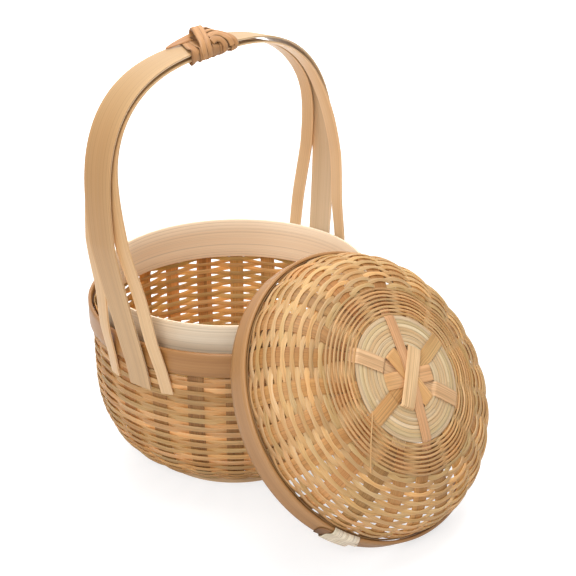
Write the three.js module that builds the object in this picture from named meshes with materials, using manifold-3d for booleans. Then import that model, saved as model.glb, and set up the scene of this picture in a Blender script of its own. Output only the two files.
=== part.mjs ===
// A round picnic basket of split bamboo: a woven bowl with a collar and a rim band, a strap handle tied
// at the top, and a domed lid that is taken off and leans on the collar.
// Millimetres, +Z up. The handle spans X, and the lid leans on the -Y side.

import * as THREE from 'three';
import { mergeVertices } from 'three/addons/utils/BufferGeometryUtils.js';
import Module from 'manifold-3d';

const wasm = await Module();
wasm.setup();

const { clamp, degToRad, lerp, smoothstep } = THREE.MathUtils;

// Fits between pieces
const seatGap = 0.3;
const stripGap = 0.4;
const lidClearance = 0.8;
const pocketClearance = 0.3;

// Facets round every turned piece, and how flat two facets lie before they count as one
const turnSegments = 48;
const flatTolerance = 0.005;

// Collar: the inner hoop that stands above the rim and centres the lid
const collarOuterRadius = 101;
const collarThickness = 2.6;
const collarTop = 147;
const collarHeight = 33;

// Rim band: the outer hoop that clamps the weave against the collar
const bandThickness = 2.8;
const bandTop = 130;
const bandHeight = 18;

// Woven bowl: flat base, rounded wall, and a neck that draws in behind the rim band
const wallThickness = 4;
const baseRadius = 58;
const bellyRadius = 108.3;
const bellyHeight = 79;
const bowlRoundness = 2.3;
const neckHeight = 8;
const weaveTopBelowBandTop = 3;
const bowlRows = 13;

// Openings where the weavers part between two stakes, in some of the rows
const openingHeight = 2.4;
const openingShare = 0.75;
const openingOverrun = 1;
const bowlOpeningRows = [5, 8, 11];
const lidOpeningRows = [2, 4, 6];

// Foot ring under the base
const footOuterRadius = 68;
const footThickness = 4.5;
const footHeight = 5;

// Crossed stakes: six strips cross at the middle, and each end is split into two wall stakes
const stakeCount = 6;
const stakeWidth = 10;
const stakeThickness = 1;
const wallStakeWidth = 12;
const crownRise = 2.4;
const crossingReach = 19.5;
const crossingRamp = 5;

// Fine weave round the crossing: long strips lie over it and short strips lie under it
const centreWeaveThickness = 2;
const centreWeaveInnerRadius = 25.5;
const centreWeaveOuterRadius = 43.5;
const openWeaveInnerRadius = 48;

// Handle: one wide strap, and two narrow straps that lie under it and spread at the feet
const strapThickness = 1.8;
const wideStrapTopWidth = 24.2;
const wideStrapFootWidth = 19;
const narrowStrapTopWidth = 9.2;
const narrowStrapFootWidth = 8.6;
const narrowStrapSetIn = 3.9;
const setInHeight = 172;
const frontStrapTopOffset = 7;
const rearStrapTopOffset = 5;
const frontStrapSpread = degToRad(13);
const rearStrapSpread = degToRad(14.6);
const spreadStartHeight = 266;
const spreadBend = 15;
const shoulderHalfSpan = 128.5;
const shoulderHeight = 206;
const handleTop = 315;
const leftArchRoundness = 3;
const rightArchRoundness = 2.55;
const strapFootLean = degToRad(11.5);
const strapTuck = 18;
const handleLean = degToRad(4.4);
const strapSteps = 48;

// Knot of cane at the top of the handle
const knotThickness = 2;
const knotWrapWidth = 9;
const knotWrapSpacing = 24;
const knotStrandWidth = 8;
const knotStrandThickness = 1.6;
const knotStrandTurn = degToRad(34);
const knotStrandSpan = 37;
const knotUnderRise = 4;
const knotOverRise = 6.6;
const knotTailLength = 32;
const knotTailWidth = 7;
const knotTailThickness = 1.2;
const knotTailLift = 3;

// Lid: outer hoop and woven dome
const lidHoopThickness = 2.6;
const lidHoopHeight = 16;
const lidApexHeight = 60.5;
const domeRoundness = 2.4;
const lidWeaveThickness = 3.4;
const lidWeaveLap = 4;
const lidRows = 8;
const lidStarTurn = degToRad(19);
const lidTilt = degToRad(53.7);
const lidTurn = degToRad(-9);

// Cane binding over the lap of the lid's hoop
const bindingThickness = 1;
const bindingTurns = 9;
const bindingTurnWidth = 2.8;
const bindingRidge = 0.35;
const bindingAngle = degToRad(227.5);
const bindingStepsPerTurn = 4;

// Sizes that follow from the ones above
const bandOuterRadius = collarOuterRadius + seatGap + stakeThickness + stripGap + wallThickness
  + seatGap + bandThickness;
const bandBottom = bandTop - bandHeight;
const neckRadius = bandOuterRadius - bandThickness - seatGap;
const baseLevel = footHeight + seatGap;
const underCentreWeave = stakeThickness + stripGap + centreWeaveThickness + stripGap;
const lidHoopInnerRadius = collarOuterRadius + lidClearance;
const lidHoopOuterRadius = lidHoopInnerRadius + lidHoopThickness;
const domeRadius = lidHoopInnerRadius - seatGap;

// Colours: pale inner bamboo, tan outer bamboo and warm cane
const paleBamboo = 0xdcc39a;
const tanBamboo = 0xc59c67;
const weaveBamboo = 0xcda566;
const stakeBamboo = 0xb98d54;
const strapBamboo = 0xd0aa75;
const knotCane = 0xbd8650;
const bindingCane = 0xe3d3ba;

// Helpers for solids

function mesh(name, geometry, color, roughness) {
  const material = new THREE.MeshStandardMaterial({ color, roughness, metalness: 0 });
  const piece = new THREE.Mesh(geometry, material);
  piece.name = name;
  return piece;
}

// Turns the faces round when they point into the solid.
function facingOut(geometry) {
  const solid = geometry.index ? geometry.toNonIndexed() : geometry;
  const place = solid.getAttribute('position');
  const a = new THREE.Vector3();
  const b = new THREE.Vector3();
  const c = new THREE.Vector3();
  let volume = 0;
  for (let i = 0; i < place.count; i += 3) {
    a.fromBufferAttribute(place, i);
    b.fromBufferAttribute(place, i + 1);
    c.fromBufferAttribute(place, i + 2);
    volume += a.dot(b.cross(c));
  }
  if (volume < 0) {
    for (let i = 0; i < place.count; i += 3) {
      a.fromBufferAttribute(place, i);
      c.fromBufferAttribute(place, i + 2);
      place.setXYZ(i, c.x, c.y, c.z);
      place.setXYZ(i + 2, a.x, a.y, a.z);
    }
  }
  solid.deleteAttribute('normal');
  solid.deleteAttribute('uv');
  const merged = mergeVertices(solid, 1e-4);
  merged.computeVertexNormals();
  return merged;
}

function solidOf(geometry) {
  const vertProperties = new Float32Array(geometry.getAttribute('position').array);
  const triVerts = new Uint32Array(geometry.index.array);
  return new wasm.Manifold(new wasm.Mesh({ numProp: 3, vertProperties, triVerts }));
}

function cutAway(geometry, cutters) {
  let solid = solidOf(geometry);
  for (const cutter of cutters) {
    solid = solid.subtract(solidOf(cutter));
  }
  const result = solid.asOriginal().simplify(flatTolerance).getMesh();
  const cut = new THREE.BufferGeometry();
  cut.setAttribute('position', new THREE.BufferAttribute(result.vertProperties, 3));
  cut.setIndex(new THREE.BufferAttribute(result.triVerts, 1));
  return facingOut(cut);
}

// A closed section of (radius, height) points turned about Z.
function turned(section) {
  const geometry = new THREE.LatheGeometry([...section, section[0]], turnSegments);
  geometry.rotateX(Math.PI / 2);
  return facingOut(geometry);
}

function hoop(outerRadius, thickness, bottom, height) {
  const innerRadius = outerRadius - thickness;
  return turned([
    new THREE.Vector2(innerRadius, bottom),
    new THREE.Vector2(outerRadius, bottom),
    new THREE.Vector2(outerRadius, bottom + height),
    new THREE.Vector2(innerRadius, bottom + height),
  ]);
}

// A straight bar whose every point is moved to its place on a bent strip.
// across and through run from -0.5 to 0.5, along runs from -1 to 1.
function bentStrip(steps, placePoint) {
  const geometry = new THREE.BoxGeometry(1, 1, 2, 1, 1, steps);
  const place = geometry.getAttribute('position');
  for (let i = 0; i < place.count; i += 1) {
    const point = placePoint(place.getX(i), place.getY(i), place.getZ(i));
    place.setXYZ(i, point.x, point.y, point.z);
  }
  return facingOut(geometry);
}

// Curves

// A quarter of a superellipse: from the crown, straight above or below the origin, round to the side.
class SuperArc extends THREE.Curve {
  constructor(originX, originY, spanX, spanY, roundness) {
    super();
    this.origin = new THREE.Vector2(originX, originY);
    this.span = new THREE.Vector2(spanX, spanY);
    this.power = 2 / roundness;
  }

  getPoint(t) {
    const turn = t * Math.PI / 2;
    const x = this.origin.x + this.span.x * Math.sin(turn) ** this.power;
    const y = this.origin.y + this.span.y * Math.max(Math.cos(turn), 0) ** this.power;
    return new THREE.Vector2(x, y);
  }
}

function joined(curves) {
  const path = new THREE.CurvePath();
  curves.forEach((curve) => path.add(curve));
  return path;
}

function tangentOf(path, share) {
  const step = 1e-3;
  const before = path.getPoint(Math.max(share - step, 0));
  const after = path.getPoint(Math.min(share + step, 1));
  return after.sub(before).normalize();
}

function evenly(from, to, count) {
  return Array.from({ length: count + 1 }, (_, i) => lerp(from, to, i / count));
}

// A woven surface: its outer profile from the middle out, and which side of the profile is inside
function wovenSurface(curves, inward) {
  const path = joined(curves);
  return { path, inward, length: path.getLength() };
}

// The point at a distance from the middle and a depth under the outer face.
function surfacePoint(surface, distance, depth) {
  const share = Math.min(distance / surface.length, 1);
  const point = surface.path.getPoint(share);
  const along = distance > 0 ? tangentOf(surface.path, share) : new THREE.Vector2(1, 0);
  point.x += surface.inward * along.y * depth;
  point.y -= surface.inward * along.x * depth;
  return point;
}

function wovenShell(surface, distances, outerDepth, innerDepth) {
  const outer = distances.map((distance) => surfacePoint(surface, distance, outerDepth));
  const inner = distances.map((distance) => surfacePoint(surface, distance, innerDepth));
  return turned([...outer, ...inner.reverse()]);
}

// One opening in every space between two stakes, in each of the rows named.
function weaveOpenings(surface, distances, rows, firstTurn, thickness) {
  const spaces = 4 * stakeCount;
  const openings = [];
  for (const row of rows) {
    const distance = (distances[row] + distances[row + 1]) / 2;
    const radius = surfacePoint(surface, distance, 0).x;
    const angle = openingShare * (2 * Math.PI / spaces - wallStakeWidth / radius);
    for (let space = 0; space < spaces; space += 1) {
      const middle = firstTurn + space * 2 * Math.PI / spaces;
      openings.push(bentStrip(1, (across, through, along) => {
        const depth = thickness / 2 + through * (thickness + 2 * openingOverrun);
        const point = surfacePoint(surface, distance + along * openingHeight / 2, depth);
        const turn = middle + across * angle;
        return new THREE.Vector3(point.x * Math.cos(turn), point.x * Math.sin(turn), point.y);
      }));
    }
  }
  return openings;
}

function centreWeave(surface) {
  const outerDepth = stakeThickness + stripGap;
  const distances = evenly(centreWeaveInnerRadius, centreWeaveOuterRadius, 1);
  return wovenShell(surface, distances, outerDepth, outerDepth + centreWeaveThickness);
}

// Crossed stakes

// How deep a strip's outer face lies: stacked at the crossing, over or under the centre weave, then
// behind the open weave.
function stakeDepth(distance, level, isLong, behindOpenWeave) {
  const stacked = level * (stakeThickness + stripGap) - crownRise;
  const beside = isLong ? 0 : underCentreWeave;
  const leaveCrossing = smoothstep(distance, crossingReach, crossingReach + crossingRamp);
  const goBehind = smoothstep(distance, centreWeaveOuterRadius + seatGap, openWeaveInnerRadius);
  return lerp(lerp(stacked, beside, leaveCrossing), behindOpenWeave, goBehind);
}

// A strip lies flat across the middle and follows the round wall further out.
function stakePoint(surface, turn, distance, lateral, depth) {
  const point = surfacePoint(surface, Math.abs(distance), depth);
  const reach = Math.hypot(point.x, lateral) || 1;
  const follow = smoothstep(point.x, centreWeaveInnerRadius, openWeaveInnerRadius);
  const scale = lerp(1, point.x / reach, follow);
  const x = Math.sign(distance) * point.x * scale;
  const y = lateral * scale;
  const cos = Math.cos(turn);
  const sin = Math.sin(turn);
  return new THREE.Vector3(x * cos - y * sin, x * sin + y * cos, point.y);
}

// One strip from rim to rim, made of two lanes that part where each end is split.
function stakeStrip(surface, turn, level, isLong, behindOpenWeave, wallDistances) {
  const halfSplitAngle = Math.PI / (4 * stakeCount);
  const flatDistances = [
    ...evenly(0, crossingReach, 1),
    ...evenly(crossingReach + crossingRamp, centreWeaveOuterRadius + seatGap, 1),
  ];
  const distances = [...flatDistances, ...wallDistances];
  const splitIndex = flatDistances.length + 1;
  const points = [];

  function edges(index) {
    if (index < splitIndex) {
      return [0, stakeWidth / 2];
    }
    const radius = surfacePoint(surface, distances[index], behindOpenWeave).x;
    const middle = radius * Math.tan(halfSplitAngle);
    const outer = middle + wallStakeWidth / 2;
    return index === splitIndex ? [0, outer] : [middle - wallStakeWidth / 2, outer];
  }

  function corner(index, end, side, isOuter, isInside) {
    const lateral = side * edges(index)[isOuter ? 1 : 0];
    const depth = stakeDepth(distances[index], level, isLong, behindOpenWeave);
    const through = isInside ? stakeThickness : 0;
    return stakePoint(surface, turn, end * distances[index], lateral, depth + through);
  }

  function quad(a, b, c, d) {
    points.push(a, b, c, a, c, d);
  }

  for (const end of [-1, 1]) {
    for (const side of [-1, 1]) {
      const isFlipped = end * side < 0;
      const face = (a, b, c, d) => (isFlipped ? quad(d, c, b, a) : quad(a, b, c, d));
      for (let i = 0; i + 1 < distances.length; i += 1) {
        const at = (step, isOuter, isInside) => corner(i + step, end, side, isOuter, isInside);
        face(at(0, false, false), at(1, false, false), at(1, true, false), at(0, true, false));
        face(at(0, true, true), at(1, true, true), at(1, false, true), at(0, false, true));
        face(at(0, true, false), at(1, true, false), at(1, true, true), at(0, true, true));
        if (i >= splitIndex) {
          face(at(0, false, true), at(1, false, true), at(1, false, false), at(0, false, false));
        }
      }
      const tip = (isOuter, isInside) => corner(distances.length - 1, end, side, isOuter, isInside);
      face(tip(false, false), tip(false, true), tip(true, true), tip(true, false));
    }
  }
  const geometry = new THREE.BufferGeometry().setFromPoints(points);
  return facingOut(geometry);
}

// Stack order at the crossing, from the outermost strip in. Odd places are the short strips.
const stackOrder = [1, 2, 4, 0, 3, 5];

function stakeSet(prefix, surface, firstTurn, behindOpenWeave, wallDistances) {
  return stackOrder.map((place, level) => {
    const turn = firstTurn + place * Math.PI / stakeCount;
    const isLong = place % 2 === 0;
    const strip = stakeStrip(surface, turn, level, isLong, behindOpenWeave, wallDistances);
    return mesh(`${prefix}_stake_${place + 1}`, strip, stakeBamboo, 0.6);
  });
}

// Bowl

const neckStart = bandBottom - neckHeight;
const weaveTop = bandTop - weaveTopBelowBandTop;
const bowlSurface = wovenSurface([
  new THREE.LineCurve(new THREE.Vector2(0, baseLevel), new THREE.Vector2(baseRadius, baseLevel)),
  new SuperArc(baseRadius, bellyHeight, bellyRadius - baseRadius, baseLevel - bellyHeight, bowlRoundness),
  new THREE.LineCurve(
    new THREE.Vector2(bellyRadius, bellyHeight),
    new THREE.Vector2(bellyRadius, neckStart),
  ),
  new THREE.CubicBezierCurve(
    new THREE.Vector2(bellyRadius, neckStart),
    new THREE.Vector2(bellyRadius, bandBottom - neckHeight / 2),
    new THREE.Vector2(neckRadius, bandBottom - neckHeight / 2),
    new THREE.Vector2(neckRadius, bandBottom),
  ),
  new THREE.LineCurve(new THREE.Vector2(neckRadius, bandBottom), new THREE.Vector2(neckRadius, weaveTop)),
], -1);

// Rows are spaced evenly up to the neck, and the neck and the clamped top have their own.
const neckDistance = bowlSurface.length - (weaveTop - bandBottom);
const bowlDistances = [
  ...evenly(openWeaveInnerRadius, neckDistance - neckHeight, bowlRows),
  neckDistance,
  bowlSurface.length,
];
const behindBowlWeave = wallThickness + stripGap;

// Handle

const strapSeat = new THREE.Vector2(bandOuterRadius + seatGap + strapThickness / 2, bandBottom);
const strapTip = new THREE.Vector2(
  strapSeat.x - strapTuck * Math.tan(strapFootLean),
  strapSeat.y - strapTuck,
);
const strapKnee = new THREE.Vector2(
  shoulderHalfSpan,
  strapSeat.y + (shoulderHalfSpan - strapSeat.x) / Math.tan(strapFootLean),
);

// Half of the handle's centre line, from its top down to a foot. One shoulder is fuller than the other.
function halfArch(roundness) {
  return joined([
    new SuperArc(0, shoulderHeight, shoulderHalfSpan, handleTop - shoulderHeight, roundness),
    new THREE.QuadraticBezierCurve(
      new THREE.Vector2(shoulderHalfSpan, shoulderHeight),
      strapKnee,
      strapSeat,
    ),
    new THREE.LineCurve(strapSeat, strapTip),
  ]);
}
const leftArch = halfArch(leftArchRoundness);
const rightArch = halfArch(rightArchRoundness);

// Zero below the start, then a straight slope, with a rounded bend between them.
function softRamp(rise, bend) {
  if (rise <= -bend) {
    return 0;
  }
  return rise >= bend ? rise : (rise + bend) ** 2 / (4 * bend);
}

// How far the narrow straps have spread at a height: they bend away under the arch and run straight down.
function strapSpread(height) {
  return softRamp(spreadStartHeight - height, spreadBend) / (spreadStartHeight - strapTip.y);
}

// place is 0 for the wide strap, -1 for the front narrow strap and 1 for the rear one.
function strapPoint(place, across, through, along, grow) {
  const side = along < 0 ? -1 : 1;
  const arch = side < 0 ? leftArch : rightArch;
  const share = Math.min(Math.abs(along), 1);
  const tangent = tangentOf(arch, share);
  const beyond = (Math.abs(along) - share) * arch.getLength();
  const point = arch.getPoint(share).addScaledVector(tangent, beyond);
  const normal = new THREE.Vector2(-tangent.y, tangent.x);
  const isNarrow = place !== 0;
  const spread = isNarrow ? strapSpread(point.y) : 0;
  const setIn = isNarrow ? narrowStrapSetIn * smoothstep(point.y, bandTop, setInHeight) : 0;
  const topWidth = isNarrow ? narrowStrapTopWidth : wideStrapTopWidth;
  const footWidth = isNarrow ? narrowStrapFootWidth : wideStrapFootWidth;
  const rise = clamp((point.y - bandBottom) / (handleTop - bandBottom), 0, 1);
  const width = lerp(footWidth, topWidth, rise) + grow;
  const outward = through * (strapThickness + grow) - setIn;
  const radius = point.x + normal.x * outward;
  const fullSpread = place < 0 ? frontStrapSpread : rearStrapSpread;
  const angle = place * fullSpread * spread;
  const topOffset = place < 0 ? frontStrapTopOffset : rearStrapTopOffset;
  const offset = place * topOffset * (1 - spread);
  const x = radius * Math.cos(angle) - across * width * Math.sin(angle);
  const y = radius * Math.sin(angle) + across * width * Math.cos(angle) + offset;
  const z = point.y + normal.y * outward;
  const lean = Math.tan(handleLean) * Math.max(z - bandBottom, 0);
  return new THREE.Vector3(side * x, y + lean, z);
}

function strap(place) {
  return bentStrip(strapSteps, (across, through, along) => strapPoint(place, across, through, along, 0));
}

// Pockets in the weave that the strap ends are tucked into
function strapPockets() {
  const grow = 2 * pocketClearance;
  const pockets = [];
  for (const side of [-1, 1]) {
    const length = (side < 0 ? leftArch : rightArch).getLength();
    const start = 1 - strapTuck / length;
    const end = 1 + pocketClearance / length;
    for (const place of [-1, 0, 1]) {
      pockets.push(bentStrip(2, (across, through, along) => {
        const share = lerp(start, end, (along + 1) / 2);
        return strapPoint(place, across, through, side * share, grow);
      }));
    }
  }
  return pockets;
}

// Knot

const knotLean = Math.tan(handleLean) * (handleTop - bandBottom);
const strapStackTop = handleTop + strapThickness / 2;
const strapStackBottom = handleTop - narrowStrapSetIn - strapThickness / 2;

function roundedRectangle(path, left, right, bottom, top, radius) {
  path.absarc(right - radius, top - radius, radius, 0, Math.PI / 2);
  path.absarc(left + radius, top - radius, radius, Math.PI / 2, Math.PI);
  path.absarc(left + radius, bottom + radius, radius, Math.PI, Math.PI * 1.5);
  path.absarc(right - radius, bottom + radius, radius, Math.PI * 1.5, Math.PI * 2);
  path.closePath();
  return path;
}

// A band of cane round all three straps.
function knotWrap(middle) {
  const half = wideStrapTopWidth / 2 + seatGap;
  const bottom = strapStackBottom - seatGap;
  const top = strapStackTop + seatGap;
  const grow = knotThickness;
  const outside = [-half - grow, half + grow, bottom - grow, top + grow];
  const section = roundedRectangle(new THREE.Shape(), ...outside, 3);
  section.holes.push(roundedRectangle(new THREE.Path(), -half, half, bottom, top, 0.6));
  const options = { depth: knotWrapWidth, bevelEnabled: false, curveSegments: 4 };
  const geometry = new THREE.ExtrudeGeometry(section, options);
  geometry.rotateX(Math.PI / 2);
  geometry.rotateZ(Math.PI / 2);
  geometry.translate(middle - knotWrapWidth / 2, knotLean, 0);
  return facingOut(geometry);
}

// A strand that arches over both wraps, turned to cross the other strand.
function knotStrand(turn, rise) {
  const seat = strapStackTop + seatGap + knotThickness + seatGap;
  const geometry = bentStrip(12, (across, through, along) => {
    const x = along * knotStrandSpan / 2;
    const y = across * knotStrandWidth;
    const z = seat + (through + 0.5) * knotStrandThickness + rise * (1 - along ** 2);
    return new THREE.Vector3(x, y, z);
  });
  geometry.rotateZ(turn);
  geometry.translate(0, knotLean, 0);
  return geometry;
}

// The pointed end of the cane, which runs out along the wide strap and lifts a little.
function knotTail() {
  const start = -(knotWrapSpacing + knotWrapWidth) / 2 - seatGap;
  return bentStrip(6, (across, through, along) => {
    const share = (along + 1) / 2;
    const x = start - share * knotTailLength;
    const ride = strapPoint(0, 0, 0.5, -archShareAt(-x), 0);
    const y = knotLean + across * knotTailWidth * (1 - 0.85 * share ** 2);
    const z = ride.z + seatGap + (through + 0.5) * knotTailThickness + knotTailLift * share ** 2;
    return new THREE.Vector3(x, y, z);
  });
}

// Share of the left half arch at which the strap is a given distance from the middle.
function archShareAt(x) {
  let low = 0;
  let high = 0.5;
  for (let i = 0; i < 40; i += 1) {
    const middle = (low + high) / 2;
    if (leftArch.getPoint(middle).x < x) {
      low = middle;
    } else {
      high = middle;
    }
  }
  return low;
}

// Lid, in its own frame: rim plane at Z 0, dome towards +Z

const domeSurface = wovenSurface([
  new SuperArc(0, lidHoopHeight, domeRadius, lidApexHeight - lidHoopHeight, domeRoundness),
  new THREE.LineCurve(
    new THREE.Vector2(domeRadius, lidHoopHeight),
    new THREE.Vector2(domeRadius, lidHoopHeight - lidWeaveLap),
  ),
], 1);
const domeDistances = [
  ...evenly(openWeaveInnerRadius, domeSurface.length - lidWeaveLap, lidRows),
  domeSurface.length,
];
const behindLidWeave = lidWeaveThickness + stripGap;

// The binding's turns grip the hoop's lower edge, its outer face and its upper edge.
function lidBinding() {
  const inner = lidHoopInnerRadius - seatGap;
  const outer = lidHoopOuterRadius + seatGap;
  const bottom = -seatGap;
  const top = lidHoopHeight + seatGap;
  const innerTop = lidHoopHeight - lidWeaveLap - seatGap;
  const grow = bindingThickness;
  const section = new THREE.Shape([
    new THREE.Vector2(inner, innerTop),
    new THREE.Vector2(inner - grow, innerTop),
    new THREE.Vector2(inner - grow, bottom - grow),
    new THREE.Vector2(outer + grow, bottom - grow),
    new THREE.Vector2(outer + grow, top + grow),
    new THREE.Vector2(lidHoopInnerRadius + seatGap, top + grow),
    new THREE.Vector2(lidHoopInnerRadius + seatGap, top),
    new THREE.Vector2(outer, top),
    new THREE.Vector2(outer, bottom),
    new THREE.Vector2(inner, bottom),
  ]);
  const length = bindingTurns * bindingTurnWidth;
  const steps = bindingTurns * bindingStepsPerTurn;
  const geometry = new THREE.ExtrudeGeometry(section, { depth: length, steps, bevelEnabled: false });
  const place = geometry.getAttribute('position');
  for (let i = 0; i < place.count; i += 1) {
    const isRidge = place.getX(i) > outer + grow / 2;
    const swell = bindingRidge * Math.abs(Math.sin(Math.PI * place.getZ(i) / bindingTurnWidth));
    const radius = place.getX(i) + (isRidge ? swell : 0);
    const angle = bindingAngle + (place.getZ(i) - length / 2) / lidHoopOuterRadius;
    place.setXYZ(i, radius * Math.cos(angle), radius * Math.sin(angle), place.getY(i));
  }
  return facingOut(geometry);
}

// How far out the lid's rim stands when its lowest point is on the floor and its hoop rests on the collar
function lidStandOff(rimCentreHeight) {
  const climb = (collarTop + seatGap - rimCentreHeight) / (lidHoopInnerRadius * Math.sin(lidTilt));
  const slopeReach = lidHoopInnerRadius * climb * Math.cos(lidTilt);
  const sideReach = lidHoopInnerRadius * Math.sqrt(1 - climb ** 2);
  return slopeReach + Math.sqrt(collarOuterRadius ** 2 - sideReach ** 2);
}

// Assembly

const basket = new THREE.Group();
const bowlWeave = wovenShell(bowlSurface, bowlDistances, 0, wallThickness);
const bowlOpenings = weaveOpenings(bowlSurface, bowlDistances, bowlOpeningRows, 0, wallThickness);
const bowlCutters = [...strapPockets(), ...bowlOpenings];
basket.add(mesh('body_weave', cutAway(bowlWeave, bowlCutters), weaveBamboo, 0.62));
basket.add(mesh('base_weave', centreWeave(bowlSurface), weaveBamboo, 0.62));
basket.add(...stakeSet('body', bowlSurface, 0, behindBowlWeave, bowlDistances));
basket.add(mesh('foot_ring', hoop(footOuterRadius, footThickness, 0, footHeight), paleBamboo, 0.55));
const bandHoop = hoop(bandOuterRadius, bandThickness, bandBottom, bandHeight);
basket.add(mesh('rim_band', bandHoop, tanBamboo, 0.5));
const collarHoop = hoop(collarOuterRadius, collarThickness, collarTop - collarHeight, collarHeight);
basket.add(mesh('collar', collarHoop, paleBamboo, 0.5));
basket.add(mesh('handle_strap', strap(0), strapBamboo, 0.48));
basket.add(mesh('handle_side_strap_front', strap(-1), strapBamboo, 0.48));
basket.add(mesh('handle_side_strap_rear', strap(1), strapBamboo, 0.48));
basket.add(mesh('knot_wrap_left', knotWrap(-knotWrapSpacing / 2), knotCane, 0.5));
basket.add(mesh('knot_wrap_right', knotWrap(knotWrapSpacing / 2), knotCane, 0.5));
basket.add(mesh('knot_strand_under', knotStrand(knotStrandTurn, knotUnderRise), knotCane, 0.5));
basket.add(mesh('knot_strand_over', knotStrand(-knotStrandTurn, knotOverRise), knotCane, 0.5));
basket.add(mesh('knot_tail', knotTail(), knotCane, 0.5));

const lid = new THREE.Group();
const lidWeave = wovenShell(domeSurface, domeDistances, 0, lidWeaveThickness);
const lidOpenings = weaveOpenings(
  domeSurface,
  domeDistances,
  lidOpeningRows,
  lidStarTurn,
  lidWeaveThickness,
);
lid.add(mesh('lid_weave', cutAway(lidWeave, lidOpenings), weaveBamboo, 0.62));
lid.add(mesh('lid_centre_weave', centreWeave(domeSurface), paleBamboo, 0.6));
lid.add(...stakeSet('lid', domeSurface, lidStarTurn, behindLidWeave, domeDistances));
lid.add(mesh('lid_hoop', hoop(lidHoopOuterRadius, lidHoopThickness, 0, lidHoopHeight), tanBamboo, 0.5));
lid.add(mesh('lid_binding', lidBinding(), bindingCane, 0.6));

// The lid leans back on the collar.
const rimCentreHeight = lidHoopOuterRadius * Math.sin(lidTilt);
lid.rotation.x = lidTilt;
lid.position.set(0, -lidStandOff(rimCentreHeight), rimCentreHeight);
const lidPlace = new THREE.Group();
lidPlace.rotation.z = lidTurn;
lidPlace.add(lid);

// The part stands on the floor, with the middle of its outline over the origin.
const part = new THREE.Group();
part.add(basket, lidPlace);
part.updateMatrixWorld(true);
const outline = new THREE.Box3().setFromObject(part, true);
const outlineMiddle = outline.getCenter(new THREE.Vector3());
part.position.set(-outlineMiddle.x, -outlineMiddle.y, -outline.min.z);

export default part;
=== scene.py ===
import math

import bpy
import numpy as np
from mathutils import Matrix, Vector


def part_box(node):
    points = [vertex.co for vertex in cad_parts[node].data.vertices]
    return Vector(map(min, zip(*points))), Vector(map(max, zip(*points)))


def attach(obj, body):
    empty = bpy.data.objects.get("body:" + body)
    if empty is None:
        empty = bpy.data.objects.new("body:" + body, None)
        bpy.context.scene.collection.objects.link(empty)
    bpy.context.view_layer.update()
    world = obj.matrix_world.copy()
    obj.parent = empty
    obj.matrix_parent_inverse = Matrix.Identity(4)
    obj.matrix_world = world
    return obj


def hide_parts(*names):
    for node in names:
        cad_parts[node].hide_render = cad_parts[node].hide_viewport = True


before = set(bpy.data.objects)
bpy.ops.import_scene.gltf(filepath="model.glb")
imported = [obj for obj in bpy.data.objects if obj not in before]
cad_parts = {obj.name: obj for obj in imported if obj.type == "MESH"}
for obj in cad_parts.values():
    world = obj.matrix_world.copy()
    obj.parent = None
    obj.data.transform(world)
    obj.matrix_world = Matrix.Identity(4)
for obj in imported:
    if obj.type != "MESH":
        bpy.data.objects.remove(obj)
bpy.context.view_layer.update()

# Woven bowl of split bamboo.
# Thin weavers are laid row by row over and under upright stakes, and pressed down so that the rows ride
# on each other between the stakes and leave small gaps beside them. Sizes are in millimetres.
MM = 0.001
rng = np.random.default_rng(11)

BASE_LEVEL = 5.3
BASE_RADIUS = 58.0
BELLY_RADIUS = 108.3
BELLY_HEIGHT = 79.0
BOWL_ROUNDNESS = 2.3
NECK_RADIUS = 106.7
NECK_HEIGHT = 8.0
BAND_TOP = 130.0
BAND_HEIGHT = 18.0
BAND_BOTTOM = BAND_TOP - BAND_HEIGHT
WEAVE_TOP = 127.0
STAKES = 24
HALF_STAKE_STEP = math.radians(7.5)

collar_low, collar_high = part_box("collar")
basket_axis = np.array([(collar_low.x + collar_high.x) / 2, (collar_low.y + collar_high.y) / 2, 0.0]) / MM
basket_frame = Matrix.Translation(Vector(basket_axis))


def srgb(code):
    """Linear colour of an sRGB hex code."""
    parts = [int(code[i:i + 2], 16) / 255 for i in (0, 2, 4)]
    return tuple(c / 12.92 if c <= 0.04045 else ((c + 0.055) / 1.055) ** 2.4 for c in parts)


def add_node(tree, kind, settings, inputs):
    """A shader node with its settings, and its inputs linked from sockets or set to values."""
    node = tree.nodes.new(kind)
    for key, value in settings.items():
        setattr(node, key, value)
    for key, value in inputs.items():
        if isinstance(value, bpy.types.NodeSocket):
            tree.links.new(value, node.inputs[key])
        else:
            node.inputs[key].default_value = value
    return node


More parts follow.
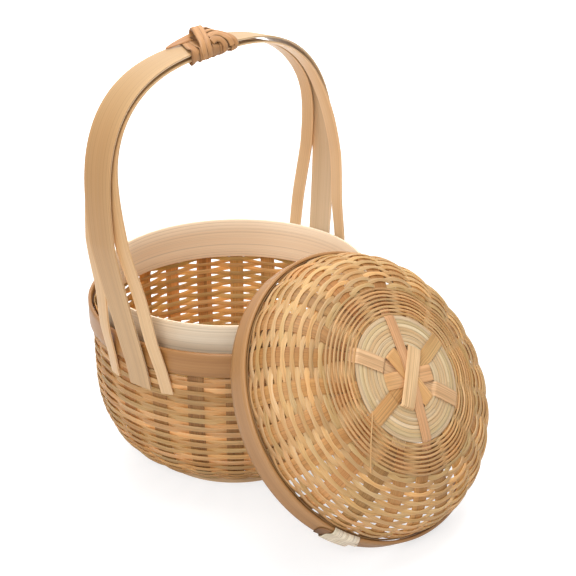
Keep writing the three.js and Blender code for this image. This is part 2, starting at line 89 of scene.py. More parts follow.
def bamboo(name, stops, fibre_mm, patch_mm, vessel_mm, vessel_depth, roughness, bump_mm, glow):
    """Bamboo or cane: fibres, patches and dark vessel lines run along the strip.

    Their sizes are in millimetres along and across it. Thin strips let a share of the light through: glow.
    """
    material = bpy.data.materials.new(name)
    material.use_nodes = True
    tree = material.node_tree
    shader = tree.nodes["Principled BSDF"]
    strip = add_node(tree, "ShaderNodeTexCoord", {}, {}).outputs["UV"]
    grain = {}
    for part, (along, across), detail, harshness in (
            ("fibre", fibre_mm, 5.0, 0.65), ("patch", patch_mm, 2.0, 0.5), ("vessel", vessel_mm, 1.0, 0.5)):
        place = add_node(tree, "ShaderNodeMapping", {}, {
            "Vector": strip, "Scale": (1 / along, 1 / across, 1)})
        noise = add_node(tree, "ShaderNodeTexNoise", {}, {
            "Vector": place.outputs[0], "Scale": 1.0, "Detail": detail, "Roughness": harshness})
        grain[part] = noise.outputs["Fac"]
    both = add_node(tree, "ShaderNodeMix", {"data_type": "FLOAT"}, {
        "Factor": 0.45, 2: grain["fibre"], 3: grain["patch"]})
    tone = add_node(tree, "ShaderNodeValToRGB", {}, {"Fac": both.outputs[0]})
    elements = tone.color_ramp.elements
    while len(elements) < len(stops):
        elements.new(0.5)
    for element, (position, code) in zip(elements, stops):
        element.position = position
        element.color = (*srgb(code), 1)
    tint = add_node(tree, "ShaderNodeAttribute", {"attribute_name": "tint"}, {})
    line = add_node(tree, "ShaderNodeMapRange", {}, {
        "Value": grain["vessel"], "From Min": 0.54, "From Max": 0.66,
        "To Min": 1.0, "To Max": 1 - vessel_depth})
    colour = tone.outputs["Color"]
    for factor in (tint.outputs["Color"], line.outputs[0]):
        colour = add_node(tree, "ShaderNodeMix", {"data_type": "RGBA", "blend_type": "MULTIPLY"}, {
            "Factor": 1.0, 6: colour, 7: factor}).outputs[2]
    rough = add_node(tree, "ShaderNodeMapRange", {}, {
        "Value": grain["fibre"], "From Min": 0.3, "From Max": 0.7,
        "To Min": roughness[0], "To Max": roughness[1]})
    bump = add_node(tree, "ShaderNodeBump", {}, {
        "Height": grain["fibre"], "Strength": 0.5, "Distance": bump_mm * MM})
    tree.links.new(colour, shader.inputs["Base Color"])
    tree.links.new(rough.outputs[0], shader.inputs["Roughness"])
    tree.links.new(bump.outputs[0], shader.inputs["Normal"])
    through = add_node(tree, "ShaderNodeBsdfTranslucent", {}, {"Color": colour})
    both_ways = add_node(tree, "ShaderNodeMixShader", {}, {
        0: glow, 1: shader.outputs[0], 2: through.outputs[0]})
    tree.links.new(both_ways.outputs[0], tree.nodes["Material Output"].inputs["Surface"])
    return material


# Scraped weaver: honey tan and a little see-through against the light, with fine lines along it and a dull
# shine. Real fibres are about 0.2 mm wide, and are drawn at 0.5 mm, as coarse as they need to be to show.
weaver_bamboo = bamboo(
    "split bamboo weaver, scraped",
    [(0.28, "a6753d"), (0.42, "cba067"), (0.55, "d8b480"), (0.72, "e5cb9f")],
    fibre_mm=(45, 0.5), patch_mm=(130, 6), vessel_mm=(120, 0.9), vessel_depth=0.14,
    roughness=(0.42, 0.62), bump_mm=0.12, glow=0.4)


def rounded_section(squareness, sides):
    """Closed section of a strip in units of its half width and half thickness."""
    turn = (np.arange(sides) + 0.5) * 2 * np.pi / sides
    cos, sin = np.cos(turn), np.sin(turn)
    reach = (np.abs(cos) ** squareness + np.abs(sin) ** squareness) ** (-1 / squareness)
    return np.stack([cos * reach, sin * reach], 1)


def new_batch():
    """An empty batch, to be filled with strips."""
    return {"points": [], "faces": [], "strip": [], "tint": [], "count": 0}


def unit(vectors):
    """The same directions, each of length 1."""
    return vectors / np.linalg.norm(vectors, axis=-1, keepdims=True)


EDGE_NARROWNESS = 14


def sweep(batch, path, normal, half_width, half_thickness, section, tint, grain_mm, edge_gain=0.0, back=1.0):
    """Adds a strip with that section along a path, its flat side facing the normal.

    Its grain starts at grain_mm in the stock. Its edges are lighter or darker by edge_gain, and back is the
    shade of its other side.
    """
    count, sides = len(path), len(section)
    along = unit(np.gradient(path, axis=0))
    across = unit(np.cross(normal, along))
    facing = np.cross(along, across)
    width = np.broadcast_to(half_width, count)[:, None] * section[:, 0]
    thick = np.broadcast_to(half_thickness, count)[:, None] * section[:, 1]
    points = path[:, None] + across[:, None] * width[..., None] + facing[:, None] * thick[..., None]
    steps = np.linalg.norm(np.diff(path, axis=0), axis=1)
    run = grain_mm + np.concatenate([[0], np.cumsum(steps)])
    first = batch["count"]
    row = np.arange(sides)
    ring = first + np.arange(count - 1)[:, None] * sides
    after = (row + 1) % sides
    quads = np.stack([ring + row, ring + after, ring + sides + after, ring + sides + row], -1).reshape(-1, 4)
    batch["faces"].extend(quads.tolist())
    batch["faces"].append((first + row[::-1]).tolist())
    batch["faces"].append((first + (count - 1) * sides + row).tolist())
    batch["points"].append(points.reshape(-1, 3))
    batch["strip"].append(np.stack([np.repeat(run, sides), width.reshape(-1) + grain_mm], 1))
    shade = np.broadcast_to(np.asarray(tint, float), (count, 3))[:, None]
    edge = 1 + np.asarray(edge_gain) * (np.abs(section[:, 0]) ** EDGE_NARROWNESS)[None, :, None]
    side = np.where(section[:, 1, None] < 0, back, 1.0)[None]
    batch["tint"].append((shade * edge * side).reshape(-1, 3))
    batch["count"] += count * sides


SHARP_EDGE = math.radians(50)


def make_piece(name, batch, place, material, body, nodes=()):
    """Turns a batch of strips into one piece that rides on a body and stands for the solids in nodes."""
    points = np.concatenate(batch["points"])
    mesh = bpy.data.meshes.new(name)
    mesh.from_pydata(points.tolist(), [], batch["faces"])
    mesh.transform(Matrix.Scale(MM, 4) @ place)
    corners = np.zeros(len(mesh.loops), np.int32)
    mesh.loops.foreach_get("vertex_index", corners)
    strip = mesh.uv_layers.new(name="strip")
    strip.data.foreach_set("uv", np.concatenate(batch["strip"])[corners].astype(np.float32).reshape(-1))
    tint = mesh.attributes.new("tint", "FLOAT_COLOR", "POINT")
    colours = np.c_[np.concatenate(batch["tint"]), np.ones(len(points))]
    tint.data.foreach_set("color", colours.astype(np.float32).reshape(-1))
    mesh.polygons.foreach_set("use_smooth", np.ones(len(mesh.polygons), bool))
    mesh.set_sharp_from_angle(angle=SHARP_EDGE)
    mesh.materials.append(material)
    piece = bpy.data.objects.new(name, mesh)
    bpy.context.scene.collection.objects.link(piece)
    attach(piece, body)
    if nodes:
        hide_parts(*nodes)


ARC_POINTS = 600
PROFILE_POINTS = 1200
SAME_POINT = 1e-6


def super_arc(origin, span, roundness):
    """Quarter of a superellipse, from above or below its origin round to its side."""
    turn = np.linspace(0, np.pi / 2, ARC_POINTS)
    x = origin[0] + span[0] * np.sin(turn) ** (2 / roundness)
    z = origin[1] + span[1] * np.cos(turn).clip(0) ** (2 / roundness)
    return np.stack([x, z], 1)


def trace(pieces, outward):
    """Outer profile of a woven surface, by distance from its middle, with the outward direction."""
    points = np.concatenate(pieces)
    keep = np.concatenate([[True], np.linalg.norm(np.diff(points, axis=0), axis=1) > SAME_POINT])
    points = points[keep]
    steps = np.linalg.norm(np.diff(points, axis=0), axis=1)
    distance = np.concatenate([[0], np.cumsum(steps)])
    even = np.linspace(0, distance[-1], PROFILE_POINTS)
    points = np.stack([np.interp(even, distance, points[:, i]) for i in (0, 1)], 1)
    along = unit(np.gradient(points, axis=0))
    along[0] = (1, 0)
    normal = outward * np.stack([-along[:, 1], along[:, 0]], 1)
    return {"distance": even, "point": points, "normal": normal, "length": even[-1]}


def on_surface(profile, distance, angle, depth):
    """Points and outward directions at a distance from the middle, an angle and a depth."""
    distance, angle, depth = np.broadcast_arrays(distance, angle, depth)
    r, z = (np.interp(distance, profile["distance"], profile["point"][:, i]) for i in (0, 1))
    out, up = (np.interp(distance, profile["distance"], profile["normal"][:, i]) for i in (0, 1))
    r, z = r - out * depth, z - up * depth
    cos, sin = np.cos(angle), np.sin(angle)
    return np.stack([r * cos, r * sin, z], -1), np.stack([out * cos, out * sin, up], -1)


ANY_PHASE = 6.3
STOCK_LENGTH = 900.0


def wander(angle, size, waves=(2, 3, 5, 9)):
    """A slow closed wobble round a ring."""
    total = sum(
        rng.normal(0, 1 / wave ** 0.5) * np.cos(wave * angle + rng.uniform(0, ANY_PHASE)) for wave in waves)
    return size * total


def tinted(spread, tints=((1, 1, 1),), shares=None):
    """A strip's own tint: one of a few shades, a little lighter or darker."""
    base = np.array(tints[rng.choice(len(tints), p=shares)])
    return base * (1 + rng.normal(0, spread)) * (1 + rng.normal(0, spread / 3, 3))


def own_grain():
    """A place in the split stock, so that no two strips show the same grain."""
    return rng.uniform(0, STOCK_LENGTH)


WEAVER_THICKNESS = 1.15
WEAVE_SWING = 1.2
WALL_MIDDLE = 2.3
FLATTER = 0.25
SAG_SHARE = 0.22
PACKED_SHARE = 1.08
LINE_STRAY = 0.045
DEPTH_STRAY = 0.08
WIDTH_SPREAD = 0.04
WIDTH_STRAY = 0.03
TONE_SPREAD = 0.05
TONE_STRAY = 0.05
ROW_POINTS = STAKES * 10 + 1
# Most weavers are plain or a little paler, and some are greenish or ruddy.
WEAVER_TINTS = ((1, 1, 1), (1.05, 1.03, 1.0), (0.93, 0.93, 0.86), (0.95, 0.88, 0.8))
WEAVER_TINT_SHARES = (0.5, 0.25, 0.13, 0.12)
# Paler edges: the cut bamboo's own paleness, with a painted highlight along each edge.
CUT_EDGE_AND_HIGHLIGHT = (0.1, 0.2, 0.36)
# Paler backs: the bare inner bamboo, lightened further with painted light for the inside of the wall.
BARE_AND_LIT_SIDE = np.array((1.4, 1.5, 1.46))
weaver_section = rounded_section(3.2, 8)


def weave_row(batch, profile, distance, pitch, odd, first_stake, crown, stakes=STAKES, swing_mm=WEAVE_SWING,
              shade=1.0):
    """One weaver, once round: over a stake, under the next, and sagging to the rim over each.

    Its width is the crown's share of the pitch over a stake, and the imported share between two.
    """
    start = rng.uniform(0, 2 * np.pi)
    angle = start + np.linspace(0, 2 * np.pi, ROW_POINTS)
    swing = np.cos(stakes / 2 * (angle - first_stake)) * (-1 if odd else 1)
    over = swing * (1 + FLATTER - FLATTER * swing ** 2)
    depth = WALL_MIDDLE - swing_mm * over + wander(angle, DEPTH_STRAY)
    line = distance + wander(angle, LINE_STRAY * pitch) + SAG_SHARE * pitch * over
    path, normal = on_surface(profile, line, angle, depth)
    tone = tinted(TONE_SPREAD, WEAVER_TINTS, WEAVER_TINT_SHARES) * shade
    drift = 1 + wander(angle, TONE_STRAY)[:, None]
    share = PACKED_SHARE + (crown - PACKED_SHARE) * swing ** 4
    width = pitch / 2 * share * (1 + rng.normal(0, WIDTH_SPREAD) + wander(angle, WIDTH_STRAY))
    sweep(batch, path, normal, width, WEAVER_THICKNESS / 2, weaver_section, tone * drift, own_grain(),
          edge_gain=CUT_EDGE_AND_HIGHLIGHT, back=BARE_AND_LIT_SIDE)


FINE_START = 23.6
FINE_PITCH = 2.75
FINE_PITCH_RANGE = (0.84, 1.08)
FINE_OVERLAP = 1.05
FINE_DEPTH = 1.45
FINE_THICKNESS = 0.9
FINE_SPREAD = 0.04
FINE_TINT = np.array((1.22, 1.42, 1.84))
FINE_LINE_STRAY = 0.07
FINE_DEPTH_STRAY = 0.04
FINE_TONE_STRAY = 0.04
# Painted shade along the edges of the flat rows, for the thin gaps between them.
PAINTED_GAP_SHADE = -0.62
FINE_END_GAP = 0.6
CORE_START = 9.0
CORE_END_GAP = 1.0
CORE_DEPTH = 3.75
CORE_OVERLAP = 1.12
LEGS = 12
LEG_DIP = 0.15
DENSE_START = 45.0
DENSE_END = 58.0
DENSE_PITCH = 1.45
DENSE_CROWN = 0.96
DENSE_SWING = 1.0
DENSE_SHADE = np.array((1.0, 0.97, 0.95))
DENSE_BACK_DEPTH = 4.0
DENSE_BACK_WIDTH = DENSE_PITCH * 2.3
# Rows behind the dense ring are tinted dark as painted shade, seen in the gaps between the rows in front.
DENSE_BACK_PAINTED_SHADE = (0.66, 0.48, 0.36)
RING_POINTS = 193
fine_section = rounded_section(4, 12)


def plain_ring(batch, profile, distance, depth, width, first_angle, tone):
    """A thin flat weaver laid once round, pressed down under the legs that lie over it, with painted shade on
    its edges.
    """
    start = rng.uniform(0, 2 * np.pi)
    angle = start + np.linspace(0, 2 * np.pi, RING_POINTS)
    dip = LEG_DIP * np.cos(LEGS / 2 * (angle - first_angle))
    line = distance + wander(angle, FINE_LINE_STRAY)
    path, normal = on_surface(profile, line, angle, depth + dip + wander(angle, FINE_DEPTH_STRAY))
    drift = 1 + wander(angle, FINE_TONE_STRAY)[:, None]
    sweep(batch, path, normal, width / 2, FINE_THICKNESS / 2, fine_section, tone * drift, own_grain(),
          edge_gain=PAINTED_GAP_SHADE)


def centre_rows(batch, profile, first_angle, dense_end):
    """Fine rows round the crossing, then the dense ring, laid on both sides of the strips."""
    for distance in np.arange(CORE_START, DENSE_START - CORE_END_GAP, FINE_PITCH):
        plain_ring(batch, profile, distance, CORE_DEPTH, FINE_PITCH * CORE_OVERLAP, first_angle,
                   tinted(FINE_SPREAD) * FINE_TINT)
    distance = FINE_START
    while distance < DENSE_START - FINE_END_GAP:
        width = FINE_PITCH * rng.uniform(*FINE_PITCH_RANGE)
        plain_ring(batch, profile, distance + width / 2 - FINE_PITCH / 2, FINE_DEPTH, width * FINE_OVERLAP,
                   first_angle, tinted(FINE_SPREAD) * FINE_TINT)
        distance += width
    for index, distance in enumerate(np.arange(DENSE_START, dense_end, DENSE_PITCH)):
        weave_row(batch, profile, distance, DENSE_PITCH, index % 2, first_angle, DENSE_CROWN, LEGS,
                  DENSE_SWING, DENSE_SHADE)
        if index % 2:
            plain_ring(batch, profile, distance, DENSE_BACK_DEPTH, DENSE_BACK_WIDTH, first_angle,
                       tinted(FINE_SPREAD) * DENSE_BACK_PAINTED_SHADE)


NECK_POINTS = 30
neck_turn = np.linspace(0, np.pi, NECK_POINTS)
neck_curve = np.stack([
    NECK_RADIUS + (BELLY_RADIUS - NECK_RADIUS) * (1 + np.cos(neck_turn)) / 2,
    BAND_BOTTOM - NECK_HEIGHT + NECK_HEIGHT * neck_turn / np.pi], 1)
bowl_profile = trace([
    np.array([(0, BASE_LEVEL), (BASE_RADIUS, BASE_LEVEL)]),
    super_arc((BASE_RADIUS, BELLY_HEIGHT), (BELLY_RADIUS - BASE_RADIUS, BASE_LEVEL - BELLY_HEIGHT),
              BOWL_ROUNDNESS),
    np.array([(BELLY_RADIUS, BELLY_HEIGHT), (BELLY_RADIUS, BAND_BOTTOM - NECK_HEIGHT)]),
    neck_curve,
    np.array([(NECK_RADIUS, BAND_BOTTOM), (NECK_RADIUS, WEAVE_TOP)]),
], -1)

# Rows of the wall: wider towards the rim, and darkened with painted shade where the lowest ones turn under
# the bowl.
FIRST_ROW_GAP = 1.6
LAST_ROW_GAP = 1.5
LOW_PITCH = 3.05
RIM_PITCH = 3.8
LOW_CROWN = 1.24
RIM_CROWN_LOSS = 0.45
WALL_SHADE = np.array((0.9, 0.85, 0.78))
SHADED_ROWS_END = 76.0
SHADED_ROWS_FADE = 10.0
SHADED_ROWS_LOSS = np.array((0.5, 0.64, 0.74))
bowl_rows = new_batch()
distance = DENSE_END + FIRST_ROW_GAP
index = 0
while distance < bowl_profile["length"] - LAST_ROW_GAP:
    height = (distance - DENSE_END) / (bowl_profile["length"] - DENSE_END)
    pitch = LOW_PITCH + (RIM_PITCH - LOW_PITCH) * height
    # Painted shade on the lowest rows, fading out above them.
    under = np.clip((SHADED_ROWS_END - distance) / SHADED_ROWS_FADE, 0, 1)
    weave_row(bowl_rows, bowl_profile, distance, pitch, index % 2, HALF_STAKE_STEP,
              LOW_CROWN - RIM_CROWN_LOSS * height ** 2, shade=WALL_SHADE * (1 - under * SHADED_ROWS_LOSS))
    distance += pitch
    index += 1
centre_rows(bowl_rows, bowl_profile, 0.0, DENSE_END)
make_piece("body_weavers", bowl_rows, basket_frame, weaver_bamboo, "basket",
           ["body_weave", "base_weave"])

# Crossed stakes of the bowl.
# Six bamboo strips cross at the middle of the base. Three long ones lie over the fine rows, three short ones
# dive under them, and past the dense ring each end is split into two stakes that run up inside the weave.
STRIP_REACH = 52.0
STRIP_POINTS = 209
STRIP_THICKNESS = 0.55
STRIP_WIDTHS = (10.6, 11.2, 8.2, 11.0, 10.6, 11.2)
# The strips from the top of the stack down, and below where each one's bend off the stack starts and ends.
STACK_ORDER = (1, 2, 3, 5, 0, 4)
STACK_STEP = 0.62
CROWN_RISE = 0.9
BENDS = ((21.6, 22.8), (12.0, 22.0)) + 4 * ((20.6, 23.4),)
LONG_LEG_DEPTH = 0.35
SHORT_LEG_DEPTH = 2.5
DIVE_START = 42.8
DIVE_END = 46.0
LEG_FADE = 30.0
LEG_EDGE = 0.06
# The tint of each strip's end and of its other end.
STRIP_TINTS = (
    ((1.22, 1.34, 1.4), (1.28, 1.27, 1.24)),
    ((1.5, 1.86, 2.6), (1.5, 1.86, 2.6)),
    ((1.3, 1.31, 1.64), (1.3, 1.31, 1.64)),
    ((1.32, 1.34, 1.34), (1.32, 1.34, 1.34)),
    ((1.48, 1.76, 2.5), (1.44, 1.67, 2.3)),
    ((1.26, 1.26, 1.25), (1.4, 1.47, 1.8)))
SPLIT_START = 50.0
SPLIT_RUN = 26.0
SPLIT_WIDTH = 5.6
SPLIT_HALF_GAP = 2.9
STAKE_WIDTH = 12.0
STAKE_WIDTH_SPREAD = 0.6
STAKE_THICKNESS = 0.9
STAKE_POINTS = 50
STAKE_ANGLE_SPREAD = 0.006
STAKE_RIPPLE = 0.15
STAKE_RIPPLE_LENGTH = 17.0
STAKE_TONE_SPREAD = 0.06
STAKE_TINTS = ((1.04, 0.98, 0.86), (0.78, 0.76, 0.7), (0.94, 0.79, 0.62), (0.86, 0.85, 0.74))
STAKE_TINT_SHARES = (0.56, 0.16, 0.14, 0.14)
# Stakes' backs are paler as bare inner bamboo, and lightened further with painted light for the inside of the
# wall.
STAKE_BARE_AND_LIT_BACK = np.array((1.6, 1.66, 1.6))
# Painted shade where a stake's halves are still joined, under the dense ring: darker and redder there.
TUCKED_PAINTED_SHADE = np.array((0.66, 0.5, 0.4))
# The bowl's stakes get painted shade on their outer faces, for the deep slots between the rows.
BOWL_STAKE_PAINTED_SHADE = (0.76, 0.66, 0.54)
stake_section = rounded_section(7, 12)
# Stake with its skin left on: duller and browner than the weavers, with greyish and greenish lengths.
stake_bamboo = bamboo(
    "split bamboo stake, skin on",
    [(0.28, "8d6438"), (0.45, "b98a55"), (0.6, "cfa36b"), (0.75, "dcb682")],
    fibre_mm=(60, 0.7), patch_mm=(70, 9), vessel_mm=(150, 1.0), vessel_depth=0.2,
    roughness=(0.45, 0.65), bump_mm=0.12, glow=0.32)


def smooth(value, low, high):
    """A soft step from 0 at the low value to 1 at the high one."""
    share = np.clip((value - low) / (high - low), 0, 1)
    return share * share * (3 - 2 * share)


def crossed_strips(batch, profile, first_angle):
    """The six strips, stacked in order at the crossing. Each stays flat until it dives or rises."""
    reach = np.linspace(-STRIP_REACH, STRIP_REACH, STRIP_POINTS)
    away = np.abs(reach)
    for level, (place, bend) in enumerate(zip(STACK_ORDER, BENDS)):
        stacked = level * STACK_STEP - CROWN_RISE
        beside = SHORT_LEG_DEPTH if place % 2 else LONG_LEG_DEPTH
        depth = stacked + (beside - stacked) * smooth(away, *bend)
        depth = depth + (WALL_MIDDLE - depth) * smooth(away, DIVE_START, DIVE_END)
        angle = first_angle + place * np.pi / 6 + np.where(reach < 0, np.pi, 0)
        path, normal = on_surface(profile, away, angle, depth)
        near, far = np.array(STRIP_TINTS[place])
        tone = far + (near - far) * np.clip(reach / LEG_FADE, 0, 1)[:, None]
        sweep(batch, path, normal, STRIP_WIDTHS[place] / 2, STRIP_THICKNESS / 2, stake_section, tone,
              own_grain(), edge_gain=LEG_EDGE)


def wall_stake(batch, profile, number, first_angle, shade=(1, 1, 1)):
    """One half of a split strip, from under the dense ring out to the rim."""
    distance = np.linspace(SPLIT_START, profile["length"], STAKE_POINTS)
    radius = np.interp(distance, profile["distance"], profile["point"][:, 0])
    spread = smooth(distance, SPLIT_START, SPLIT_START + SPLIT_RUN)
    side = 1 if number % 2 else -1
    joined = SPLIT_HALF_GAP / radius
    middle = first_angle + 2 * HALF_STAKE_STEP * (2 * (number // 2) + 0.5)
    angle = middle + side * (joined + (HALF_STAKE_STEP - joined) * spread)
    angle = angle + rng.normal(0, STAKE_ANGLE_SPREAD) * spread
    depth = WALL_MIDDLE + STAKE_RIPPLE * np.sin(distance / STAKE_RIPPLE_LENGTH + number)
    path, normal = on_surface(profile, distance, angle, depth)
    width = SPLIT_WIDTH + (STAKE_WIDTH - SPLIT_WIDTH + rng.normal(0, STAKE_WIDTH_SPREAD)) * spread
    # shade is painted shade on the outer face only; the back is divided by it to keep its tone.
    tone = tinted(STAKE_TONE_SPREAD, STAKE_TINTS, STAKE_TINT_SHARES) * shade
    # Painted shade, fading out as the halves part.
    tucked_shade = 1 + (TUCKED_PAINTED_SHADE - 1) * (1 - spread)[:, None]
    sweep(batch, path, normal, width / 2, STAKE_THICKNESS / 2, stake_section, tone * tucked_shade, own_grain(),
          back=STAKE_BARE_AND_LIT_BACK / shade)


bowl_stakes = new_batch()
crossed_strips(bowl_stakes, bowl_profile, 0.0)
for number in range(STAKES):
    wall_stake(bowl_stakes, bowl_profile, number, -HALF_STAKE_STEP, BOWL_STAKE_PAINTED_SHADE)
make_piece("body_stakes", bowl_stakes, basket_frame, stake_bamboo, "basket",
           [f"body_stake_{i}" for i in range(1, 7)])

# Hoops of the basket.
# A tall collar inside the weave and a lower rim band outside it are bent from shaved bamboo boards, and a
# thin ring under the base keeps the weave off the table.
COLLAR_OUTER_RADIUS = 101.0
COLLAR_THICKNESS = 2.6
COLLAR_TOP = 147.0
COLLAR_HEIGHT = 33.0
COLLAR_TINT = (0.77, 0.84, 0.92)
# The collar's inner face is paler as bare bamboo, and lightened further with painted light.
COLLAR_BARE_AND_LIT_BACK = (1.62, 1.62, 1.64)
BAND_OUTER_RADIUS = 109.8
BAND_THICKNESS = 2.8
BAND_TINT = (1, 1, 1)
FOOT_RING_RADIUS = 68.0
FOOT_RING_THICKNESS = 4.5
FOOT_RING_HEIGHT = 5.0
FOOT_RING_TINT = (0.9, 0.84, 0.74)
BOARD_JOINT = -0.9
BOARD_POINTS = 241
BOARD_EDGE = 0.06
# The boards are set on a round form while they are hot, so they keep to the circle.
BOARD_STRAY = 0.0
board_section = rounded_section(9, 20)
# Shaved pale board: creamy and even, with long straight lines of dark vessels and a soft sheen.
pale_board = bamboo(
    "bamboo board, shaved pale",
    [(0.25, "d6b48e"), (0.42, "dfc09c"), (0.58, "e6cbaa"), (0.78, "eed8bc")],
    fibre_mm=(260, 0.7), patch_mm=(500, 14), vessel_mm=(700, 0.9), vessel_depth=0.2,
    roughness=(0.38, 0.5), bump_mm=0.1, glow=0.06)
# Board with some of its skin left on: an even brown, smoother and a little shinier, with faint lines.
tan_board = bamboo(
    "bamboo board, shaved with skin",
    [(0.25, "855727"), (0.42, "926433"), (0.58, "9d6f3d"), (0.78, "aa7f4d")],
    fibre_mm=(240, 0.7), patch_mm=(500, 12), vessel_mm=(600, 0.9), vessel_depth=0.12,
    roughness=(0.36, 0.5), bump_mm=0.08, glow=0.04)


def on_circle(radius, angle, height):
    """Points round the middle at a radius and a height, and their outward directions."""
    cos, sin = np.cos(angle), np.sin(angle)
    return np.stack([radius * cos, radius * sin, height], 1), np.stack([cos, sin, 0 * cos], 1)


def hoop(radius, thickness, bottom, height, tone, back=1.0):
    """A board bent into a ring, standing on its edge."""
    batch = new_batch()
    angle = BOARD_JOINT + np.linspace(0, 2 * np.pi, BOARD_POINTS)
    line = radius - thickness / 2 + wander(angle, BOARD_STRAY, (2, 3, 4))
    middle = bottom + height / 2 + wander(angle, BOARD_STRAY / 3, (2, 3))
    path, normal = on_circle(line, angle, middle)
    path[-1] = path[0]
    sweep(batch, path, normal, height / 2, thickness / 2, board_section, tone, own_grain(),
          edge_gain=BOARD_EDGE, back=back)
    return batch


collar_hoop = hoop(COLLAR_OUTER_RADIUS, COLLAR_THICKNESS, COLLAR_TOP - COLLAR_HEIGHT, COLLAR_HEIGHT,
                   COLLAR_TINT, COLLAR_BARE_AND_LIT_BACK)
make_piece("collar_board", collar_hoop, basket_frame, pale_board, "basket", ["collar"])
band_hoop = hoop(BAND_OUTER_RADIUS, BAND_THICKNESS, BAND_BOTTOM, BAND_HEIGHT, BAND_TINT)
make_piece("rim_band_board", band_hoop, basket_frame, tan_board, "basket", ["rim_band"])
foot_hoop = hoop(FOOT_RING_RADIUS, FOOT_RING_THICKNESS, 0, FOOT_RING_HEIGHT, FOOT_RING_TINT)
make_piece("foot_ring_board", foot_hoop, basket_frame, pale_board, "basket", ["foot_ring"])

# Handle straps.
# Planed bamboo straps are heated, bent into one arch and pushed down outside the rim band into the weave.
# The wide one is on top, and the two narrow ones lie under it and bend away towards their feet.
STRAP_THICKNESS = 1.8
SEAT_GAP = 0.3
SHOULDER_HALF_SPAN = 128.5
SHOULDER_HEIGHT = 206.0
HANDLE_TOP = 315.0
ARCH_ROUNDNESS = {-1: 3.0, 1: 2.55}
FOOT_LEAN = math.radians(11.5)
STRAP_TUCK = 18.0
HANDLE_LEAN = math.radians(4.4)
NARROW_SET_IN = 3.9
SET_IN_HEIGHT = 172.0
FRONT_OFFSET = 7.0
REAR_OFFSET = 5.0
FRONT_SPREAD = math.radians(13)
REAR_SPREAD = math.radians(14.6)
LEFT_FRONT_NEARER = 0.93
SPREAD_START = 266.0
SPREAD_BEND = 15.0
# Widths at the foot and at the top, and how much fuller the strap is half way up.
WIDE_WIDTHS = (19.0, 24.2, 0.0)
NARROW_WIDTHS = (9.4, 9.2, 1.5)
# The straps are paler towards their feet, and carry a painted sheen, a highlight from above, at the top of
# the arch.
PALE_FOOT = np.array((0.08, 0.16, 0.28))
PALE_FOOT_FADE = (140.0, 230.0)
TOP_PAINTED_SHEEN = np.array((0.11, 0.22, 0.36))
TOP_SHEEN_FADE = (270.0, 312.0)
STRAP_EDGE = 0.12
STRAP_POINTS = 241
KNEE_POINTS = 200
STRAP_GRAIN = 400.0
STRAP_GRAIN_STEP = 300.0
strap_section = rounded_section(8, 16)
# Planed strap: smooth and golden, with long even fibres and a low shine along the bend.
strap_bamboo = bamboo(
    "bamboo strap, planed and bent",
    [(0.25, "c49764"), (0.42, "cda170"), (0.58, "d4ab7c"), (0.78, "dcb68a")],
    fibre_mm=(320, 0.8), patch_mm=(420, 20), vessel_mm=(600, 0.9), vessel_depth=0.12,
    roughness=(0.34, 0.48), bump_mm=0.06, glow=0.06)

seat_x = BAND_OUTER_RADIUS + SEAT_GAP + STRAP_THICKNESS / 2
seat = np.array([seat_x, BAND_BOTTOM])
tip = np.array([seat_x - STRAP_TUCK * math.tan(FOOT_LEAN), BAND_BOTTOM - STRAP_TUCK])
knee = np.array([SHOULDER_HALF_SPAN, BAND_BOTTOM + (SHOULDER_HALF_SPAN - seat_x) / math.tan(FOOT_LEAN)])
shoulder = np.array([SHOULDER_HALF_SPAN, SHOULDER_HEIGHT])
bend = np.linspace(0, 1, KNEE_POINTS)[:, None]
half_arch = {side: trace([
    super_arc((0, SHOULDER_HEIGHT), (SHOULDER_HALF_SPAN, HANDLE_TOP - SHOULDER_HEIGHT),
              ARCH_ROUNDNESS[side]),
    (1 - bend) ** 2 * shoulder + 2 * bend * (1 - bend) * knee + bend ** 2 * seat,
    np.array([seat, tip]),
], 1) for side in (-1, 1)}


def arch_value(along, key, column):
    """A value of the arch's centre line, from the left foot at -1 to the right foot at 1."""
    sides = [np.interp(np.abs(along) * arch["length"], arch["distance"], arch[key][:, column])
             for arch in (half_arch[-1], half_arch[1])]
    return np.where(along < 0, *sides)


def strap_line(place, along):
    """Centre line, facing and width of a strap. along runs from -1 to 1, from foot to foot."""
    side = np.where(along < 0, -1.0, 1.0)
    x, z = (arch_value(along, "point", i) for i in (0, 1))
    out, up = (arch_value(along, "normal", i) for i in (0, 1))
    narrow = abs(place)
    drop = SPREAD_START - z
    ramp = np.where(drop >= SPREAD_BEND, drop, np.clip(drop + SPREAD_BEND, 0, None) ** 2 / (4 * SPREAD_BEND))
    spread = narrow * ramp / (SPREAD_START - tip[1])
    reach = -narrow * NARROW_SET_IN * smooth(z, BAND_TOP, SET_IN_HEIGHT)
    radius, height = x + out * reach, z + up * reach
    nearer = np.where(along < 0, LEFT_FRONT_NEARER, 1.0)
    angle = place * (FRONT_SPREAD * nearer if place < 0 else REAR_SPREAD) * spread
    cos, sin = np.cos(angle), np.sin(angle)
    lean = math.tan(HANDLE_LEAN) * np.clip(height - BAND_BOTTOM, 0, None)
    offset = place * (FRONT_OFFSET if place < 0 else REAR_OFFSET) * (1 - spread)
    path = np.stack([side * radius * cos, radius * sin + offset + lean, height], 1)
    normal = np.stack([side * out * cos, out * sin, up], 1)
    foot, top, fuller = NARROW_WIDTHS if narrow else WIDE_WIDTHS
    rise = np.clip((z - BAND_BOTTOM) / (HANDLE_TOP - BAND_BOTTOM), 0, 1)
    return path, normal, foot + (top - foot) * rise + fuller * np.sin(np.pi * rise)


